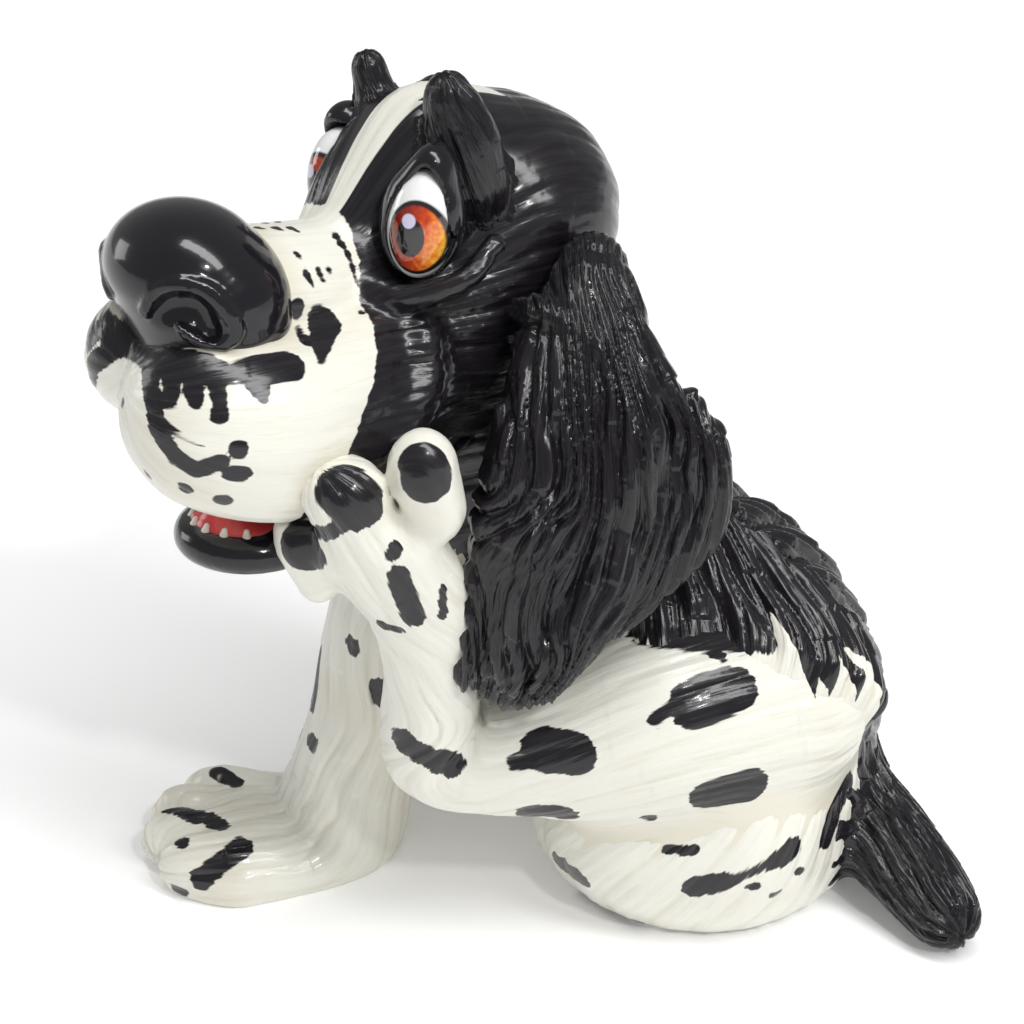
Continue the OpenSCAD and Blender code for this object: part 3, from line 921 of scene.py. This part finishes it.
def lid_form(s):
    """A thick hood round the eyeball, open in front in a leaning teardrop."""
    def field(q):
        q = to_eye(q, s)
        hood = blend(egg_gap(q, np.array([-0.5, 1.0, 0.2]), np.array([6.9, 6.5, 9.9]), 0),
                     egg_gap(q, np.array([0.6, 1.0, 9.2]), np.array([3.2, 4.0, 4.0]), 0), 3)
        up = q[:, 2] + 1.5
        slim = 5.1 - 1.6 * np.clip(up / 10, 0, 1)
        middle = 0.6
        if s < 0:
            middle, slim = -1.6, slim + 2
        opening = (np.hypot((q[:, 0] - middle) / slim, up / np.where(up > 0, 11.4, 6.6)) - 1) * 5
        opening = np.maximum(opening, q[:, 1] - 1)
        hood = carve(hood, opening, 1.0)
        return np.maximum(hood, -egg_gap(q, np.zeros(3), EYE_HALF - 0.3, 0))
    return field


def eyes():
    """Eyeballs and their lids; the painted irises look to the front and left."""
    for name, s, lean in (("left", 1, 1.1), ("right", -1, -2.6)):
        def look(p):
            q = to_eye(to_head(p), s)
            return np.stack([(q[:, 0] - lean) / 4.3 * s, (q[:, 2] + 1.0) / 5.9, np.zeros(len(q))], 1)
        model(name + "_eye", on_head(eye_form(s)), EYE, fine=0.5, gaze=look, spare=2)
        model(name + "_eyelid", on_head(lid_form(s)), SMOOTH_BLACK, fine=0.5, spare=4)


def brows():
    """Upright tufts of hair over the eyes."""
    for name, s in (("left", 1), ("right", -1)):
        rows = [(11, -9, 15, 5.5, 6, 7), (11, -11, 21.5, 5, 5, 6), (11.2, -12.5, 27.6, 3.9, 3.8, 4.6)]
        fold = [(14.5, -8, 15, 3.4, 4.4, 6), (15, -9, 21.5, 2.8, 3.4, 4), (13.8, -10.5, 26.6, 2.2, 2.6, 3)]
        if s < 0:
            rows = [swap_side(row[:3] + tuple(0.74 * half for half in row[3:])) for row in rows]
            fold = [(-7, -8, 17, 2, 2.4, 3), (-5, -6, 22, 1.6, 1.8, 2.2), (-3.5, -5, 25.5, 1.2, 1.2, 1.6)]
        form = on_head(luted(join(limb(*rows), limb(*fold), soft=1.5), head_form, 3))

        def comb(p, rows=rows):
            return comb_round(rows)(to_head(p))
        model(name + "_brow", form, HAIRY_BLACK, comb, ((4, 14, 2, 0.5, 61), (1.5, 8, 0.8, 0.12, 62)),
              fine=0.55, spare=5)


def nose():
    """The big nose, with nostrils, their curled rims and the split in the middle."""
    hollow_rows = ((7.5, -64.5, -1, 1.4, 1.4, 1.4), (10, -62.5, 1.6, 2.3, 2.3, 2.8), (12.7, -59.8, 1.6, 2.5, 2.5, 3.2),
                   (13.5, -58, -1.2, 1.9, 1.9, 2))
    ridge_rows = ((5.5, -64.5, 0.5, 1, 1, 1), (7.5, -63.5, 4, 1.1, 1.1, 1.1), (10.5, -61.8, 6, 1.3, 1.3, 1.3),
                  (13.5, -58.4, 5.4, 1.3, 1.3, 1.3), (15.4, -55.6, 2, 1.3, 1.3, 1.3), (16, -54.5, -1.5, 1.2, 1.2, 1.2),
                  (14.8, -56.6, -4, 1, 1, 1), (13.6, -58, -3.6, 0.8, 0.8, 0.8))
    curl_rows = ((10.3, -61.6, -0.5, 0.6, 0.6, 0.6), (11.3, -60.4, -2, 0.8, 0.8, 0.8), (12.6, -59, -3, 0.7, 0.7, 0.7))
    crease_rows = ((5, -64, -5.5, 0.8, 0.8, 0.8), (10, -61.5, -5, 0.8, 0.8, 0.8), (14, -57.5, -5.2, 0.8, 0.8, 0.8),
                   (15.6, -52, -5.5, 0.7, 0.7, 0.7), (16, -46, -4, 0.5, 0.5, 0.5))
    split = limb((0, -67, 0, 0.7, 1.2, 0.8), (0, -65, -6, 0.9, 1.4, 1), (0, -62, -11, 1, 1.5, 1))

    def form(p):
        q = to_head(p)
        near = np.abs(q) * np.array([1, 0, 0]) + q * np.array([0, 1, 1])
        gap = nose_form(q)
        gap = carve(gap, limb(*hollow_rows)(near), 1.0)
        gap = blend(gap, np.maximum(limb(*ridge_rows)(near), nose_form(q) - 0.9), 0.8)
        gap = blend(gap, limb(*curl_rows)(near), 0.6)
        gap = carve(gap, limb(*crease_rows)(near), 0.8)
        return carve(gap, split(q), 0.8)

    model("nose", form, SMOOTH_BLACK, fine=0.48, spare=4)


def mouth():
    """Lower jaw with its lip, red lining and tongue, and a row of small teeth."""
    lip = limb(*[(11 * math.sin(a), -42 - 11.5 * math.cos(a), -42.5, 2.1, 2.1, 2.6)
                 for a in np.radians(np.linspace(-80, 80, 9))])
    hollow = limb((0, -40, -35, 9, 8, 4), (0, -46, -36, 8.5, 8, 4.5))

    def jaw(p):
        q = to_head(p)
        return blend(carve(jaw_form(q), hollow(q), 1.5), lip(q), 2)

    def lining(p):
        q = to_head(p)
        bowl = limb((0, -37, -39.5, 9, 8, 3.5), (0, -44.5, -40, 9, 8.5, 3.2))(q)
        tongue = limb((0, -37, -38, 5, 5, 2.6), (0, -47, -38.4, 4.5, 4.5, 2.6))(q)
        return blend(bowl, tongue, 1)

    def teeth(p):
        q = to_head(p)
        gap = np.full(len(q), 20.0)
        for a in np.radians(np.linspace(-55, 55, 6)):
            x, y = 9.3 * math.sin(a), -42.8 - 10 * math.cos(a)
            gap = np.minimum(gap, limb((x, y, -41, 1.6, 1.1, 1.5), (0.97 * x, y + 0.3, -39.0, 0.6, 0.6, 0.7))(q))
        return gap

    model("lower_jaw", jaw, SMOOTH_BLACK, fine=0.7, spare=5)
    model("mouth_lining", lining, RED, fine=0.6, spare=4)
    model("lower_teeth", teeth, IVORY, fine=0.35, spare=2)


def flap_lock(eggs, start, end, drift_by, width, lift):
    """Rows for one thick lock that hangs on the outer face of an ear flap."""
    rows = thread(eggs, 3)
    n = len(rows)
    out = []
    for k in range(int(start * n), int(end * n)):
        t = (k - start * n) / max(1, (end - start) * n)
        at, half, turn = rows[k, :3], rows[k, 3:6], math.radians(rows[k, 6])
        share = drift_by[0] + (drift_by[1] - drift_by[0]) * t + 0.06 * math.sin(7 * t + 9 * drift_by[0])
        out_face = np.array([math.cos(turn), math.sin(turn), 0])
        wide = np.array([-math.sin(turn), math.cos(turn), 0])
        depth = math.sqrt(max(0.05, 1 - share * share))
        fat = width * (0.55 + 0.9 * math.sin(math.pi * min(1, 0.18 + 0.85 * t)) ** 0.8)
        place = at + wide * share * half[1] + out_face * (half[0] * depth - fat * 0.35 + lift * math.sin(math.pi * t))
        out.append(tuple(place) + (fat, fat, fat * 1.4))
    return out


def ears():
    """A long left ear in hanging locks, with loose ones laid over it, and a plainer right ear."""
    locks_of_left = [limb(*flap_lock(LEFT_EAR, 0.02 + 0.03 * (k % 2), 1.0 - 0.07 * (k * 2 % 3),
                                     (0.5 * f, 0.93 * f), 2.6 + 0.5 * (k * 7 % 3), 0.8), pace=1.5)
                     for k, f in enumerate(np.linspace(-1, 1, 8))]
    over = [limb(*flap_lock(LEFT_EAR, 0.12, 0.62, (0.5, -0.1), 3.2, 3.0), pace=1.5),
            limb(*flap_lock(LEFT_EAR, 0.3, 0.66, (0.75, 0.98), 3.4, 1.5), pace=1.5),
            limb(*flap_lock(LEFT_EAR, 0.45, 1.0, (-0.1, 0.5), 3.4, 2.5), pace=1.5),
            limb(*flap_lock(LEFT_EAR, 0.2, 0.95, (-0.5, -0.55), 2.8, 2.0), pace=1.5),
            limb((22, 4, 116, 2, 2, 2), (26, 9, 118, 3, 3, 2.6), (27, 15, 115, 3.4, 3.4, 3),
                 (29, 21, 109, 2.6, 2.6, 2.6)),
            limb((25, 4, 112, 1.6, 1.6, 1.6), (29, 9, 113, 2.4, 2.4, 2.2), (31, 15, 109, 2.6, 2.6, 2.4),
                 (33, 19, 102, 2, 2, 2.4))]
    flap = [row[:3] + (row[3] - 1, row[4] - 2, row[5]) + row[6:] for row in LEFT_EAR]
    left = join(limb(*flap), *locks_of_left, soft=0.8)
    hair = ((3.4, 24, 5.0, 1.7, 71), (1.5, 12, 1.2, 0.55, 72))

    def form(p):
        gap = left(p)
        for lock in over:
            gap = blend(gap, lock(p), 0.7)
        return gap

    model("left_ear", form, HAIRY_BLACK, comb_flap(LEFT_EAR, 44, 4.5), hair, fine=0.8,
          strength=lambda p: np.clip((128 - p[:, 2]) / 22, 0.2, 1))
    model("right_ear", limb(*RIGHT_EAR), HAIRY_BLACK, comb_flap(RIGHT_EAR, 28, 3), hair, fine=0.9)


# ---------------------------------------------------------------- setting

def floor():
    """A plain pale floor that glows a little."""
    bpy.ops.mesh.primitive_plane_add(size=6, location=(0, 0, 0))
    plane = bpy.context.object
    plane.name = "floor"
    made, _, shader = new_material("pale_floor")
    shader.inputs["Base Color"].default_value = (0.97, 0.97, 0.97, 1)
    shader.inputs["Roughness"].default_value = 0.9
    shader.inputs["Emission Color"].default_value = (1, 1, 1, 1)
    shader.inputs["Emission Strength"].default_value = 0.12
    plane.data.materials.append(made)


def toward(azimuth, height):
    """Unit direction from the figure, with azimuth 0 in front of it and 90 at its left."""
    a, e = math.radians(azimuth), math.radians(height)
    return np.array([math.sin(a) * math.cos(e), -math.cos(a) * math.cos(e), math.sin(e)])


def lamp(name, start, end, distance, width, power):
    """A soft panel aimed at the figure, stretched between two directions."""
    a, b = toward(*start), toward(*end)
    away = (a + b) / np.linalg.norm(a + b)
    along = b - a
    along = along - (along @ away) * away
    long = np.linalg.norm(b - a) * distance
    along /= np.linalg.norm(along)
    light = bpy.data.lights.new(name, "AREA")
    light.shape = "RECTANGLE"
    light.size = max(long, width)
    light.size_y = width
    light.energy = power
    obj = bpy.data.objects.new(name, light)
    bpy.context.scene.collection.objects.link(obj)
    place = away * distance + np.array([0, 0, 0.07])
    turn = Matrix([along, np.cross(away, along), away]).transposed()
    obj.matrix_world = Matrix.Translation(place.tolist()) @ turn.to_4x4()


def lights():
    """Soft studio light: a long strip overhead, a small lamp in front and a low fill."""
    world = bpy.data.worlds.new("studio")
    bpy.context.scene.world = world
    world.use_nodes = True
    world.node_tree.nodes["Background"].inputs["Color"].default_value = (1, 1, 1, 1)
    world.node_tree.nodes["Background"].inputs["Strength"].default_value = 0.3
    lamp("ceiling_strip", (-6, 72), (151, 28), 2.4, 0.6, 54)
    lamp("front_lamp", (122, 47), (126, 44), 2.0, 0.12, 8)
    lamp("low_fill", (-22, 6), (-8, 16), 2.4, 0.8, 6)


def camera():
    """Looks down on the dog's left side, with its front to the left of the view."""
    target = (np.array([0, 0, 66.0]) + UNDER_CHEST) * MM
    away = toward(98, 30)
    data = bpy.data.cameras.new("camera")
    data.lens = 96.2
    data.sensor_width = 36
    data.clip_start = 0.01
    obj = bpy.data.objects.new("camera", data)
    bpy.context.scene.collection.objects.link(obj)
    obj.location = target + away * 0.48
    obj.rotation_euler = Vector(-away).to_track_quat("-Z", "Y").to_euler()
    bpy.context.scene.camera = obj


body()
coat()
tail()
forelegs()
hind_legs()
head()
eyes()
brows()
nose()
mouth()
ears()
floor()
lights()
camera()
bpy.context.scene.view_settings.view_transform = "Standard"
